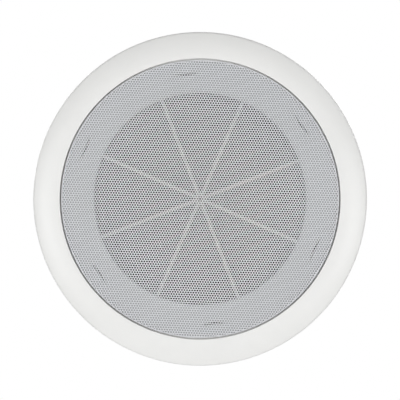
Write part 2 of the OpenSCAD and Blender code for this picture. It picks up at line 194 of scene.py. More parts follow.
def turned_steel(name, colour):
    """Plated steel with the fine and broad rings left by turning."""
    m, t, s = new_material(name)
    p = place(t)
    radius = axis_radius(t)

    def ringed(per_metre):
        along = math_node(t, "MULTIPLY", radius, per_metre)
        return noise(t, node(t, "ShaderNodeCombineXYZ", {0: along}).outputs[0], 1.0, 2)

    rings, bands = ringed(5200.0), ringed(850.0)
    clouds = noise(t, p, 170, 5, 0.6)
    c = mix(t, ramp(t, clouds, 0, 0.3), rgb(colour), rgb((0.72, 0.70, 0.62)))
    c = mix(t, ramp(t, rings, 0, 0.5), c, rgb(colour, 0.62))
    c = mix(t, ramp(t, bands, 0, 0.5), c, rgb(colour, 0.72))
    s.inputs["Metallic"].default_value = 1.0
    r = math_node(t, "ADD", ramp(t, clouds, 0.28, 0.38), ramp(t, bands, -0.08, 0.08))
    finish_with(t, s, c, r, [(rings, 0.5, 0.00006), (bands, 0.3, 0.00015), (clouds, 0.1, 0.0001)])
    return m


def ferrite():
    """Sintered ferrite: near black, with specks and soft patches."""
    m, t, s = new_material("sintered_ferrite")
    p = place(t)
    speck = noise(t, p, 1400, 4, 0.7)
    patch = noise(t, p, 70, 5, 0.6)
    c = mix(t, ramp(t, patch, 0, 1), rgb((0.055, 0.055, 0.06)), rgb((0.095, 0.093, 0.095)))
    c = mix(t, ramp(t, speck, 0, 0.5, 0.52, 0.75), c, rgb((0.2, 0.2, 0.2)))
    finish_with(t, s, c, ramp(t, patch, 0.5, 0.72), [(speck, 0.5, 0.0001), (patch, 0.3, 0.0003)])
    return m


def coated_paper(name, colour, fibre, rings=0.0):
    """Pressed paper: fibres laid every way, a few lighter ones, and faint rings from the press."""
    m, t, s = new_material(name)
    p = place(t)
    warp = noise(t, p, 120, 2)
    fibres = noise(t, p, fibre, 6, 0.75)
    flecks = noise(t, p, fibre * 2.3, 2)
    c = mix(t, ramp(t, fibres, 0, 1), rgb(colour, 0.72), rgb(colour, 1.35))
    c = mix(t, ramp(t, flecks, 0, 0.6, 0.62, 0.8), c, rgb(colour, 2.1))
    c = mix(t, ramp(t, warp, 0, 0.25), c, rgb(colour, 0.8))
    heights = [(fibres, 0.55, 0.00018)]
    if rings:
        across = node(t, "ShaderNodeCombineXYZ", {0: axis_radius(t)}).outputs[0]
        wave = node(t, "ShaderNodeTexWave", {"Vector": across, "Scale": rings, "Distortion": 0.3})
        heights.append((wave.outputs["Fac"], 0.3, 0.0002))
    finish_with(t, s, c, ramp(t, fibres, 0.62, 0.85), heights)
    s.inputs["Specular IOR Level"].default_value = 0.22
    return m


def rubber(name, colour):
    """Rubber with a faint bloom."""
    m, t, s = new_material(name)
    p = place(t)
    bloom = noise(t, p, 160, 5, 0.6)
    fine = noise(t, p, 2200, 2)
    c = mix(t, ramp(t, bloom, 0, 0.8), rgb(colour), rgb([x * 1.7 + 0.004 for x in colour]))
    finish_with(t, s, c, ramp(t, bloom, 0.47, 0.67), [(fine, 0.3, 0.00005), (bloom, 0.2, 0.0002)])
    return m


def foam(name, colour):
    """Open-celled foam, with painted shade in its pores."""
    m, t, s = new_material(name)
    p = place(t)
    cells = node(t, "ShaderNodeTexVoronoi", {"Vector": p, "Scale": 1300.0}).outputs["Distance"]
    broad = noise(t, p, 200, 3)
    # Painted shade: the pores are painted dark, the cell walls light.
    c = mix(t, ramp(t, cells, 0, 1, 0.1, 0.6), rgb(colour, 0.45), rgb(colour, 1.4))
    c = mix(t, ramp(t, broad, 0, 0.3), c, rgb(colour, 0.7))
    finish_with(t, s, c, 0.92, [(cells, 0.8, 0.0003)])
    s.inputs["Sheen Weight"].default_value = 0.15
    return m


def woven(name, colour):
    """Cloth with its threads along X and Z, stiffened with resin, and painted shade where the weave lies low between
    and under the threads.
    """
    m, t, s = new_material(name)
    p = place(t)
    split = node(t, "ShaderNodeSeparateXYZ", {0: p})
    k = 2 * math.pi / THREAD_PITCH
    a, b = (math_node(t, "SINE", math_node(t, "MULTIPLY", split.outputs[i], k)) for i in (0, 2))
    along = math_node(t, "MULTIPLY", math_node(t, "ABSOLUTE", a), 0.5)
    over = math_node(t, "MULTIPLY", math_node(t, "MULTIPLY", a, b), 0.5)
    level = math_node(t, "ADD", along, over)
    soak = noise(t, p, 150, 4)
    # Painted shade: the cloth is darker where the weave lies low, between and under the threads.
    c = mix(t, ramp(t, level, 0, 1, -0.5, 1.0), rgb(colour, 0.6), rgb(colour, 1.2))
    c = mix(t, ramp(t, soak, 0, 0.5), c, rgb((colour[0] * 0.7, colour[1] * 0.55, colour[2] * 0.4)))
    finish_with(t, s, c, ramp(t, soak, 0.65, 0.8), [(level, 0.6, 0.00015)])
    return m


def braid(name, colour):
    """Braided tinsel, worn in places, with painted shade between its strands and a painted highlight along them."""
    m, t, s = new_material(name)
    p = place(t)
    split = node(t, "ShaderNodeSeparateXYZ", {0: p})
    total = math_node(t, "ADD", math_node(t, "ADD", split.outputs[0], split.outputs[1]), split.outputs[2])
    strands = math_node(t, "SINE", math_node(t, "MULTIPLY", total, 9500.0))
    wear = noise(t, p, 700, 3)
    # Painted shade and highlight: darker between the strands, lighter along them.
    c = mix(t, ramp(t, strands, 0, 1, -1, 1), rgb(colour, 0.55), rgb(colour, 1.25))
    c = mix(t, ramp(t, wear, 0, 0.4), c, rgb((0.72, 0.62, 0.5)))
    s.inputs["Metallic"].default_value = 0.85
    finish_with(t, s, c, ramp(t, wear, 0.35, 0.5), [(strands, 0.7, 0.00012)])
    return m


def wound_wire():
    """Enamelled wire, laid turn by turn along the axis, with painted shade in the grooves between the turns and a
    painted highlight on their crests.
    """
    m, t, s = new_material("enamelled_wire")
    p = place(t)
    split = node(t, "ShaderNodeSeparateXYZ", {0: p})
    phase = math_node(t, "MULTIPLY", split.outputs[1], math.pi / WIRE_PITCH)
    turns = math_node(t, "ABSOLUTE", math_node(t, "SINE", phase))
    tone = noise(t, p, 300, 3)
    # Painted shade and highlight: dark in the grooves between the turns, bright copper on their crests.
    c = mix(t, ramp(t, turns, 0, 1, 0, 1), rgb((0.18, 0.045, 0.015)), rgb((0.66, 0.25, 0.09)))
    c = mix(t, ramp(t, tone, 0, 0.3), c, rgb((0.4, 0.13, 0.05)))
    s.inputs["Metallic"].default_value = 0.8
    finish_with(t, s, c, ramp(t, tone, 0.22, 0.34), [(turns, 0.8, 0.00015)])
    return m


def board():
    """Phenolic board: brown paper laminate with a faint grain."""
    m, t, s = new_material("phenolic_board")
    p = place(t)
    stretch = node(t, "ShaderNodeMapping", {"Vector": p, "Scale": (300, 300, 2600)}).outputs[0]
    grain = noise(t, stretch, 1.0, 4)
    fine = noise(t, p, 2400, 3)
    c = mix(t, ramp(t, grain, 0, 1), rgb((0.17, 0.065, 0.025)), rgb((0.27, 0.115, 0.05)))
    c = mix(t, ramp(t, fine, 0, 0.3), c, rgb((0.12, 0.045, 0.02)))
    finish_with(t, s, c, ramp(t, fine, 0.42, 0.6), [(fine, 0.25, 0.00005)])
    return m


def film():
    """Amber film with a faint haze."""
    m, t, s = new_material("amber_film")
    p = place(t)
    haze = noise(t, p, 400, 3)
    c = mix(t, ramp(t, haze, 0, 1), rgb((0.42, 0.19, 0.03)), rgb((0.6, 0.3, 0.06)))
    finish_with(t, s, c, ramp(t, haze, 0.2, 0.32), [(haze, 0.1, 0.00005)])
    return m


def glue():
    """Dried black glue."""
    m, t, s = new_material("dried_glue")
    p = place(t)
    lumps = noise(t, p, 350, 4)
    c = mix(t, ramp(t, lumps, 0, 1), rgb((0.02, 0.02, 0.021)), rgb((0.05, 0.048, 0.045)))
    finish_with(t, s, c, ramp(t, lumps, 0.16, 0.3), [(lumps, 0.5, 0.0003)])
    return m


def solder():
    """Solder, bright where it ran and dull where it cooled."""
    m, t, s = new_material("solder")
    p = place(t)
    dull = noise(t, p, 900, 4)
    c = mix(t, ramp(t, dull, 0, 1), rgb((0.5, 0.5, 0.51)), rgb((0.78, 0.78, 0.79)))
    s.inputs["Metallic"].default_value = 1.0
    finish_with(t, s, c, ramp(t, dull, 0.18, 0.4), [(dull, 0.3, 0.0001)])
    return m


WHITE = (0.82, 0.82, 0.806)
INNER = (0.42, 0.427, 0.439)
GRILLE = (0.81, 0.817, 0.842)
# Radii in metres between which the painted shade on the bars ends, and the grey gives way to the white of the seat.
BAR_PAINTED_SHADE_FADE = (0.068, 0.076)
SEAT_FADE = (0.0946, 0.0956)
# Metres from thread to thread of the spider's cloth, and from turn to turn of the coil.
THREAD_PITCH = 0.0007
WIRE_PITCH = 0.00028

white_plastic = moulded_plastic("white_moulding", WHITE, 0.37)
# The bars in the opening get painted shade, at 0.55 of the plastic's colour.
inner_plastic = moulded_plastic("inner_moulding", INNER, 0.5, painted_bar_shade=0.55)
grille_coat = powder_coat("grille_powder_coat", GRILLE)
basket_paint = powder_coat("black_basket_coat", (0.028, 0.028, 0.03), 0.42)
clamp_zinc = plated("clamp_zinc", (0.62, 0.63, 0.66), 0.3, (0.7, 0.68, 0.6))
pin_steel = plated("pin_steel", (0.55, 0.55, 0.57), 0.25)
spring_steel = plated("spring_wire_steel", (0.32, 0.32, 0.34), 0.28, (0.4, 0.36, 0.28))
turned = turned_steel("turned_plate", (0.6, 0.6, 0.6))
magnet_black = ferrite()
cone_paper = coated_paper("cone_paper", (0.044, 0.045, 0.048), 850, 120.0)
cap_paper = coated_paper("cap_paper", (0.058, 0.059, 0.063), 1200)
surround_rubber = rubber("surround_rubber", (0.022, 0.022, 0.023))
gasket_foam = foam("gasket_foam", (0.05, 0.05, 0.052))
spider_cloth = woven("spider_cloth", (0.5, 0.34, 0.14))
lead_braid = braid("tinsel_braid", (0.6, 0.36, 0.2))
tinned = plated("tinned_brass", (0.72, 0.66, 0.46), 0.27, (0.62, 0.52, 0.3))
wire_copper = wound_wire()
phenolic = board()
amber = film()
black_glue = glue()
solder_metal = solder()

looks = {
    "bezel": white_plastic,
    "mounting_collar": white_plastic,
    "baffle_plate": inner_plastic,
    "spoke_guard": inner_plastic,
    "driver_hooks": inner_plastic,
    "grille_rim": grille_coat,
    "grille": grille_coat,
    "basket": basket_paint,
    "basket_gasket": gasket_foam,
    "surround": surround_rubber,
    "cone": cone_paper,
    "dust_cap": cap_paper,
    "voice_coil_former": amber,
    "voice_coil_winding": wire_copper,
    "spider": spider_cloth,
    "top_plate": turned,
    "back_plate": turned,
    "magnet": magnet_black,
    "basket_rivets": clamp_zinc,
    "terminal_board": phenolic,
    "terminal_rivet": clamp_zinc,
    "terminal_positive": tinned,
    "terminal_negative": tinned,
    "tinsel_positive": lead_braid,
    "tinsel_negative": lead_braid,
}
for k in (1, 2, 3):
    looks[f"clamp_arm_{k}"] = clamp_zinc
    looks[f"clamp_pin_{k}"] = pin_steel
    looks[f"clamp_spring_{k}"] = spring_steel
for name, look in looks.items():
    for s in nodes[name].material_slots:
        s.material = look

# ---------------------------------------------------------------- mesh helpers
# part.scad draws in millimetres with z towards the listener. The lengths below are in its terms.


def at(r, a, z):
    """Row-frame point, in metres, from radius and local height in millimetres and direction in radians."""
    return (r * math.cos(a) * MM, -z * MM, r * math.sin(a) * MM)


def local(x, y, z):
    """Row-frame point, in metres, from a local point in millimetres."""
    return (x * MM, -z * MM, y * MM)


def turned_to(a, r, v, z):
    """Row-frame point of the local point (r, v, z), turned by a radians about the axis."""
    return local(r * math.cos(a) - v * math.sin(a), r * math.sin(a) + v * math.cos(a), z)


def mesh_object(name, points, faces, material, smooth):
    """A new object; edges sharper than smooth, in degrees, stay sharp."""
    me = bpy.data.meshes.new(name)
    me.from_pydata([tuple(p) for p in points], [], [tuple(int(i) for i in f) for f in faces])
    me.validate()
    me.update()
    me.materials.append(material)
    o = bpy.data.objects.new(name, me)
    bpy.context.scene.collection.objects.link(o)
    me.shade_smooth()
    me.set_sharp_from_angle(angle=math.radians(smooth))
    return o


def lathe(name, profile, material, smooth, count=256, wobble=None):
    """A closed profile of (radius, local height) in millimetres, turned about the axis."""
    n = len(profile)
    points = []
    for i in range(count):
        a = 2 * math.pi * i / count
        for r, z in profile:
            if wobble:
                r, z = wobble(a, r, z)
            points.append(at(r, a, z))
    faces = []
    for i in range(count):
        k = (i + 1) % count
        for j in range(n):
            after = (j + 1) % n
            faces.append((i * n + j, i * n + after, k * n + after, k * n + j))
    o = mesh_object(name, points, faces, material, smooth)
    outward(o)
    return o


def outward(o):
    """Turns the faces to face outward, by the sign of the enclosed volume."""
    me = o.data
    me.calc_loop_triangles()
    co = np.zeros(len(me.vertices) * 3)
    me.vertices.foreach_get("co", co)
    co = co.reshape(-1, 3)
    tri = np.zeros(len(me.loop_triangles) * 3, int)
    me.loop_triangles.foreach_get("vertices", tri)
    a, b, c = (co[tri.reshape(-1, 3)[:, i]] for i in range(3))
    if np.einsum("ij,ij->i", a, np.cross(b, c)).sum() < 0:
        me.flip_normals()


def radial_blend(o):
    """Bakes the object's transform into its mesh."""
    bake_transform(o)


def sheet(line, t):
    """The line given from the outside in, thickened by t to its back, as part.scad does it."""
    p = np.array(line, float)
    d = np.diff(p, axis=0)
    d /= np.linalg.norm(d, axis=1)[:, None]
    left = np.stack([-d[:, 1], d[:, 0]], 1)
    a = np.vstack([left[:1], left])
    b = np.vstack([left, left[-1:]])
    m = (a + b) / (1 + np.einsum("ij,ij->i", a, b))[:, None]
    back = p + t * m
    return [tuple(q) for q in p] + [tuple(q) for q in back[::-1]]


def tube(name, path, radius, material, ref):
    """A round bar along a path in metres. Returns the object and each vertex's place along the path, 0 to 1."""
    sides = 10
    p = np.array(path, float)
    n = len(p)
    t = np.gradient(p, axis=0)
    t /= np.linalg.norm(t, axis=1)[:, None]
    u = np.cross(t, np.array(ref, float))
    u /= np.linalg.norm(u, axis=1)[:, None]
    v = np.cross(t, u)
    a = np.linspace(0, 2 * math.pi, sides, endpoint=False)
    ring = p[:, None] + radius * (np.cos(a)[None, :, None] * u[:, None] + np.sin(a)[None, :, None] * v[:, None])
    points = ring.reshape(-1, 3)
    faces = [
        (i * sides + k, i * sides + (k + 1) % sides, (i + 1) * sides + (k + 1) % sides, (i + 1) * sides + k)
        for i in range(n - 1) for k in range(sides)
    ]
    faces.append(tuple(range(sides - 1, -1, -1)))
    faces.append(tuple((n - 1) * sides + k for k in range(sides)))
    o = mesh_object(name, points, faces, material, 60.0)
    outward(o)
    return o, np.repeat(np.arange(n) / (n - 1), sides)


def bar(points, faces, near, far):
    """Adds the solid between two outlines that have the same number of points."""
    first, n = len(points), len(near)
    points += [*near, *far]
    faces += [tuple(range(first, first + n)), tuple(range(first + 2 * n - 1, first + n - 1, -1))]
    faces += [tuple(first + q for q in (w, w + n, (w + 1) % n + n, (w + 1) % n)) for w in range(n)]


# ---------------------------------------------------------------- bezel
# The moulding's own section, with its crown, nose and edge as true curves and its ribs drafted.


def arc(middle, radius, first, last, count):
    """Points on an arc, from one direction to another in degrees."""
    turns = np.radians(np.linspace(first, last, count))
    return [(middle[0] + radius * math.cos(a), middle[1] + radius * math.sin(a)) for a in turns]


SEAT = 96.5
# The crown is an arc about one middle, outside and inside. It meets the nose and the edge at these directions.
CROWN = (99.0, -33.5)
CROWN_OUTSIDE, CROWN_INSIDE = 40.0, 37.7
AT_NOSE, AT_EDGE = 93.04, 68.59
bezel_profile = [(SEAT, 3.6)]
bezel_profile += arc((SEAT + 0.4, 6.045), 0.4, 180, AT_NOSE, 9)
bezel_profile += arc(CROWN, CROWN_OUTSIDE, AT_NOSE, AT_EDGE, 40)[1:]
bezel_profile += arc((112.79, 1.691), 2.2, AT_EDGE, 0, 14)[1:]
bezel_profile += [(114.99, 0.12), (114.87, 0.0), (112.7, 0.0), (112.6, 0.1)]
bezel_profile += arc(CROWN, CROWN_INSIDE, 68.85, 90.76, 20)
bezel_profile += [(SEAT + 2, 3.6)]
bezel = lathe("bezel_moulding", bezel_profile, white_plastic, 40.0)

RIBS = 24
# Corners of a rib: radius, height and half the thickness there, which the draft makes less at the back.
RIB_SIDE = ((98.55, 0.8, 0.65), (111.8, 0.8, 0.65), (111.8, 2.7, 0.8), (98.55, 4.9, 0.8))
rib_points = []
rib_faces = []
for k in range(RIBS):
    a = math.radians(360 / RIBS * (k + 0.5))
    near, far = ([turned_to(a, r, side * half, z) for r, z, half in RIB_SIDE] for side in (-1, 1))
    bar(rib_points, rib_faces, near, far)
ribs = mesh_object("bezel_ribs", rib_points, rib_faces, white_plastic, 30.0)
outward(ribs)
for o in (bezel, ribs):
    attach(o, "frame")
    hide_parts("bezel")

# A moulded shoulder on either side of each snap hook closes the end of its slot from behind.
HOOKS = 6
FIRST_HOOK = 36
SHOULDER_LENGTH = 3.9
# Corners of a shoulder, as radius and height.
SHOULDER_SIDE = ((85.0, -2.6), (88.4, -3.4), (89.2, -3.4), (89.2, -1.45), (85.0, -1.45))
shoulder_points = []
shoulder_faces = []
for k in range(HOOKS):
    a = math.radians(FIRST_HOOK + 360 / HOOKS * k)
    for start in (-10.8, 6.9):
        near, far = ([turned_to(a, r, v, z) for r, z in SHOULDER_SIDE] for v in (start, start + SHOULDER_LENGTH))
        bar(shoulder_points, shoulder_faces, near, far)
shoulders = mesh_object("hook_shoulders", shoulder_points, shoulder_faces, inner_plastic, 30.0)
outward(shoulders)
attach(shoulders, "frame")

# ---------------------------------------------------------------- grille
# The same sheet as the solid's, with the true number of holes. It is drawn flat, with radii along the sheet, and bent
# afterwards. Each cell between three holes is filled by a fixed pattern of triangles, and the ragged rim outside the
# last whole cells is triangulated freely.

GRILLE_RADIUS = 95.6
SHEET = 0.6
FACE = 5.2  # height of the face
FOOT = 1.0  # height of the skirt's foot
BEND = 1.1  # outer radius of the bend
PITCH = 1.777  # from hole to hole
HOLE = 0.5 * 0.77 * PITCH  # radius of a hole
TURN = math.radians(-2.5)  # direction of the rows
FLAT = GRILLE_RADIUS - BEND  # radius where the bend starts
ARC = BEND * math.pi / 2  # length of the bend
BLANK = FLAT + ARC + 0.3  # radius of the flat sheet
SIDES = 12  # sides of a hole
RINGS = 360  # points on each ring round the bend
SECTORS = 3  # pieces of the flat part, each below the limit on triangles


def sector_of(p):
    """Which of the sectors, from 30 degrees on, a point of the flat sheet lies in."""
    return int((math.degrees(math.atan2(p[1], p[0])) - 30) % 360 // (360 // SECTORS))


def grille_sheet():
    """Points, triangles and each triangle's sector of the flat sheet, and its number of holes."""
    e1 = np.array([math.cos(TURN), math.sin(TURN)]) * PITCH
    e2 = np.array([math.cos(TURN + math.pi / 3), math.sin(TURN + math.pi / 3)]) * PITCH
    reach = int(BLANK / PITCH * 1.3) + 2
    limit = FLAT + ARC - 0.9 * HOLE
    index = {}
    centres = []
    for i in range(-reach, reach + 1):
        for j in range(-reach, reach + 1):
            c = i * e1 + j * e2
            if np.hypot(*c) < limit:
                index[(i, j)] = len(centres)
                centres.append(c)
    centres = np.array(centres)
    step = 2 * math.pi / SIDES
    angles = TURN + step * np.arange(SIDES)
    ring = HOLE * np.stack([np.cos(angles), np.sin(angles)], 1)
    points = (centres[:, None] + ring[None]).reshape(-1, 2)
    sixth = SIDES // 6

    def hole_arc(hole, first):
        """The hole's points over 60 degrees, from direction first times 60 degrees."""
        return [hole * SIDES + (first * sixth + s) % SIDES for s in range(sixth + 1)]

    triangles = []
    sectors = []
    used = set()
    inside = set()
    for (i, j), a in index.items():
        for kind, others, firsts in (
            (0, ((i + 1, j), (i, j + 1)), (0, 2, 4)),
            (1, ((i + 1, j - 1), (i + 1, j)), (5, 1, 3)),
        ):
            if others[0] not in index or others[1] not in index:
                continue
            b, c = index[others[0]], index[others[1]]
            if max(np.hypot(*centres[q]) for q in (a, b, c)) > FLAT - HOLE - 0.05:
                continue
            inside.add((i, j, kind))
            loop = []
            for hole, first in zip((a, b, c), firsts):
                part = hole_arc(hole, first)
                used.update((part[s], part[s + 1]) for s in range(sixth))
                loop.append(part)
            middle = (centres[a] + centres[b] + centres[c]) / 3
            sector = sector_of(middle)
            around = sorted(
                sum(loop, []), key=lambda q: math.atan2(points[q][1] - middle[1], points[q][0] - middle[0])
            )
            n = len(around)
            # A triangle between the middles of the three arcs, with a fan at each side, keeps them well shaped.
            corner = sorted(around.index(part[sixth // 2]) for part in loop)
            for q in range(3):
                s, e = corner[q], corner[(q + 1) % 3]
                span = [around[(s + w) % n] for w in range(((e - s) % n) + 1)]
                for w in range(1, len(span) - 1):
                    triangles.append((span[0], span[w], span[w + 1]))
                    sectors.append(sector)
            triangles.append(tuple(around[q] for q in corner))
            sectors.append(sector)
    # The outer rows: whole cells don't fit here, and the rings are where the sheet bends.
    count = {}
    for t in triangles:
        for s in range(3):
            e = (t[s], t[(s + 1) % 3])
            key = (min(e), max(e))
            count[key] = count.get(key, 0) + 1
    arcs = {(min(a, b), max(a, b)) for a, b in used}
    border = [e for e, n in count.items() if n == 1 and e not in arcs]
    for hole in range(len(centres)):
        for s in range(SIDES):
            a, b = hole * SIDES + s, hole * SIDES + (s + 1) % SIDES
            if (a, b) not in used:
                border.append((a, b))
    keep = sorted({p for e in border for p in e})
    number = {p: i for i, p in enumerate(keep)}
    flat_points = [Vector(points[p]) for p in keep]
    edges = [(number[a], number[b]) for a, b in border]
    ring_angle = 2 * math.pi * np.arange(RINGS) / RINGS
    bend_steps = np.arange(5) / 4
    for radius in (*(FLAT + ARC * bend_steps), BLANK):
        base = len(flat_points)
        flat_points += [Vector((radius * math.cos(v), radius * math.sin(v))) for v in ring_angle]
        edges += [(base + i, base + (i + 1) % RINGS) for i in range(RINGS)]
    out = delaunay_2d_cdt(flat_points, edges, [], 0, 1e-7)
    new_points, new_faces, origin = np.array([tuple(p) for p in out[0]]), out[2], out[3]
    all_points = [tuple(p) for p in points]
    where = []
    for i, p in enumerate(new_points):
        source = origin[i][0] if origin[i] else None
        if source is not None and source < len(keep):
            where.append(keep[source])
        else:
            where.append(len(all_points))
            all_points.append((p[0], p[1]))
    inverse = np.linalg.inv(np.stack([e1, e2], 1))
    sides_out = TURN + step * (np.arange(SIDES) + 0.5)
    sides_out = np.stack([np.cos(sides_out), np.sin(sides_out)])
    for f in new_faces:
        m = new_points[list(f)].mean(0)
        far = math.hypot(*m)
        if far > BLANK:
            continue
        u, v = inverse @ m
        i, j = math.floor(u), math.floor(v)
        low = (u - i) + (v - j) < 1
        if ((i, j, 0) if low else (i, j + 1, 1)) in inside:
            continue
        beside = [(p, q) for p in (i, i + 1) for q in (j, j + 1) if (p, q) in index]
        if any(((m - (p * e1 + q * e2)) @ sides_out).max() < HOLE * math.cos(step / 2) for p, q in beside):
            continue
        triangles.append(tuple(where[i] for i in f))
        sectors.append(SECTORS if far > FLAT else sector_of(m))
    return np.array(all_points), triangles, np.array(sectors), len(centres)


flat_points, flat_triangles, flat_sectors, hole_total = grille_sheet()
print("holes in the grille:", hole_total)


def signed(t):
    """Twice the triangle's area, negative if its corners run clockwise."""
    a, b, c = (flat_points[i] for i in t)
    return (b[0] - a[0]) * (c[1] - a[1]) - (b[1] - a[1]) * (c[0] - a[0])


def formed(p, inner):
    """A point of the flat sheet after the sheet's edge has been bent back."""
    r, a = math.hypot(*p), math.atan2(p[1], p[0])
    s = max(r - FLAT, 0)
    depth = SHEET if inner else 0
    turn = min(s / BEND, math.pi / 2)
    bent = r if s == 0 else FLAT + (BEND - depth) * math.sin(turn)
    level = FACE - BEND + (BEND - depth) * math.cos(turn) - max(s - ARC, 0)
    return at(bent, a, level)


grille_pieces = []
for sector, piece_name in enumerate(("grille_sheet_a", "grille_sheet_b", "grille_sheet_c", "grille_edge")):
    chosen = [t if signed(t) > 0 else (t[0], t[2], t[1]) for t, s in zip(flat_triangles, flat_sectors) if s == sector]
    used_points = sorted({p for t in chosen for p in t})
    number = {p: i for i, p in enumerate(used_points)}
    n = len(used_points)
    front = [formed(flat_points[p], False) for p in used_points]
    back = [formed(flat_points[p], True) for p in used_points]
    tris = [tuple(number[p] for p in t) for t in chosen]
    # A dictionary, because it keeps its order.
    edge_use = {(t[s], t[(s + 1) % 3]): True for t in tris for s in range(3)}
    faces = tris + [(t[0] + n, t[2] + n, t[1] + n) for t in tris]
    skirt = []
    for a, b in edge_use:
        if (b, a) not in edge_use:
            if min(math.hypot(*flat_points[used_points[q]]) for q in (a, b)) > BLANK - 0.01:
                skirt.append((a, b))
            else:
                faces.append((b, a, a + n, b + n))
    everything = front + back
    if skirt:
        # The plain wall below the bend: outside, chamfered foot and inside.
        corners = sorted({q for e in skirt for q in e})
        rings = []
        for radius, level in ((GRILLE_RADIUS, FOOT + 0.1), (GRILLE_RADIUS - 0.1, FOOT), (GRILLE_RADIUS - SHEET, FOOT)):
            rings.append({q: len(everything) + k for k, q in enumerate(corners)})
            for q in corners:
                x, y = flat_points[used_points[q]]
                scale = radius / math.hypot(x, y)
                everything.append(local(x * scale, y * scale, level))
        rings = [{q: q for q in corners}, *rings, {q: q + n for q in corners}]
        for a, b in skirt:
            faces += [(up[b], up[a], down[a], down[b]) for up, down in zip(rings, rings[1:])]
    o = mesh_object(piece_name, everything, faces, grille_coat, 35.0 if sector < SECTORS else 50.0)
    outward(o)
    grille_pieces.append(o)
for o in grille_pieces:
    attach(o, "frame")
    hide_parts("grille_rim" if o is grille_pieces[SECTORS] else "grille")

# ---------------------------------------------------------------- moving parts of the driver

GASKET_BACK = -9.0
FLANGE_FRONT = -9.4
CONE_NECK = 13.3
NECK_DEPTH = 31.0
CONE_EDGE = 60.8
CONE_STEPS = 96
CORRUGATIONS = (27.0, 34.0, 41.0, 48.0)  # radii of the fine corrugations


def cone_level(r):
    """Height of the cone's front at a radius."""
    return -NECK_DEPTH + (NECK_DEPTH + FLANGE_FRONT) * (max(r - CONE_NECK, 0) / (CONE_EDGE - CONE_NECK)) ** 0.8


cone_line = [(63.9, FLANGE_FRONT), (62.4, FLANGE_FRONT)]
for i in range(CONE_STEPS + 1):
    r = CONE_EDGE + (CONE_NECK - CONE_EDGE) * i / CONE_STEPS
    z = cone_level(r)
    for middle in CORRUGATIONS:
        z += 0.28 * math.exp(-(((r - middle) / 0.9) ** 2))
    cone_line.append((r, z))
cone = lathe("paper_cone", sheet(cone_line, 0.62), cone_paper, 60.0)
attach(cone, "moving_cone")
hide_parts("cone")

ROLL_MIDDLE = (68.3, GASKET_BACK)
ROLL_RADIUS = 4.2
roll = [(80.9, GASKET_BACK), *arc(ROLL_MIDDLE, ROLL_RADIUS, 0, 180, 41), (60.9, GASKET_BACK)]
surround = lathe("rubber_surround", sheet(roll, 0.4), surround_rubber, 50.0)
radial_blend(surround)
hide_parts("surround")

SPIDER_LEVEL = -33.8
WAVES = 5
WAVE_STEPS = 120
WAVES_START, WAVES_WIDTH, WAVE_HALF = 34.2, 18, 0.6
waves = [(38.5, SPIDER_LEVEL)]
for i in range(WAVE_STEPS + 1):
    rise = WAVE_HALF * (1 - math.cos(2 * math.pi * WAVES * i / WAVE_STEPS))
    waves.append((WAVES_START - WAVES_WIDTH * i / WAVE_STEPS, SPIDER_LEVEL + rise))
waves.append((13.35, SPIDER_LEVEL))
spider = lathe("cloth_spider", sheet(waves, 0.45), spider_cloth, 60.0)
radial_blend(spider)
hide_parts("spider")


def bead(name, r, z, radius, seed):
    """A ring of dried glue with a slightly uneven run."""
    rng = np.random.default_rng(seed)
    phases = rng.uniform(0, 2 * math.pi, 6)
    sizes = rng.uniform(0.4, 1.0, 6)

    def uneven(a, pr, pz):
        swell = sum(s * math.sin((q + 2) * a + f) for q, (s, f) in enumerate(zip(sizes, phases)))
        k = 1 + 0.18 * swell / 3
        return r + (pr - r) * k, z + (pz - z) * k

    turns = np.linspace(0, 2 * math.pi, 12, endpoint=False)
    ring = [(r + radius * math.cos(a), z + radius * math.sin(a)) for a in turns]
    return lathe(name, ring, black_glue, 80.0, 192, uneven)


cap_glue = bead("cap_glue", 17.05, cone_level(17.0) + 0.22, 0.42, 3)
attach(cap_glue, "moving_cone")
neck_glue = bead("neck_glue", 13.6, -33.45, 0.5, 5)
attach(neck_glue, "moving_cone")

# ---------------------------------------------------------------- leads

# The basket's leg under the terminals lies in the direction TERMINAL and slopes from WALL_A to WALL_B, which are given
# as radius and height. PAD is the middle of its outside.
WALL_A = np.array([66.5, -18.0])
WALL_B = np.array([43.0, -32.6])
TERMINAL = math.radians(135)
along_wall = (WALL_B - WALL_A) / np.linalg.norm(WALL_B - WALL_A)
PAD = (WALL_A + WALL_B) / 2 + np.array([-along_wall[1], along_wall[0]])
SLOPE = math.atan2(WALL_A[1] - WALL_B[1], WALL_A[0] - WALL_B[0])
TAG = 13.5  # the terminals' distance from the middle of the leg
SIDE_SIGNS = (("positive", 1), ("negative", -1))


def leg_point(u, v, w):
    """Radius, tangent and local height of a point on the terminal leg, in millimetres."""
    return np.array([
        PAD[0] + u * math.cos(SLOPE) - w * math.sin(SLOPE), v,
        PAD[1] + u * math.sin(SLOPE) + w * math.cos(SLOPE),
    ])


def at_terminal(p):
    """Row-frame point of a point that leg_point gave, or one in the same terms."""
    return Vector(turned_to(TERMINAL, *p))


def sideways(a):
    """The unit vector along the tangent, in the direction a."""
    return Vector((-math.sin(a), 0, math.cos(a)))


# Each lead is a Bezier curve from the cone's back to its terminal, with the handles b and c.
LEAD_ROOT = 36  # radius where a lead leaves the cone
LEAD_STEPS = 40
for side, sign in SIDE_SIGNS:
    start = np.array([LEAD_ROOT, sign * 9, cone_level(LEAD_ROOT) - 1.35])
    end = leg_point(-8.4, sign * TAG, -1.9 + 0.47)
    b, c = start + np.array([2, sign, -7]), end + np.array([-6, 0, 3.4])
    path = []
    for i in range(LEAD_STEPS + 1):
        t = i / LEAD_STEPS
        s = 1 - t
        path.append(at_terminal(s**3 * start + 3 * s * s * t * b + 3 * s * t * t * c + t**3 * end))
    lead, along = tube(f"tinsel_{side}_braid", path, 0.43 * MM, lead_braid, sideways(TERMINAL))
    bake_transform(lead)
    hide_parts(f"tinsel_{side}")


